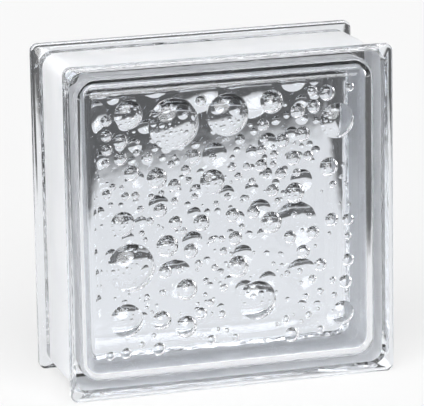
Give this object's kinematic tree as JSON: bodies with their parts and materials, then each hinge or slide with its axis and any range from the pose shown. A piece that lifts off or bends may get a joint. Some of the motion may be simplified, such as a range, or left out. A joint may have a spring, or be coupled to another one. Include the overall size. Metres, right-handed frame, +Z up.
{
  "type": "glass block",
  "caption": "Square hollow glass block for walls and windows, with rim lips, a white-coated mortar channel and a bubble relief inside its clear panes.",
  "frame": {"origin": "on the floor under the middle of the block, where its lower lips rest", "axes": "+Z up, +Y from the front face to the rear face, +X to the right seen from the front"},
  "size_m": [0.197, 0.079, 0.197],
  "materials": {
    "clear_glass": "clear pressed soda-lime glass, smooth outside",
    "white_coat": "matt white edge coat"
  },
  "bodies": {
    "root": {"glass_body": "clear_glass", "edge_coating": "white_coat"}
  },
  "joints": []
}
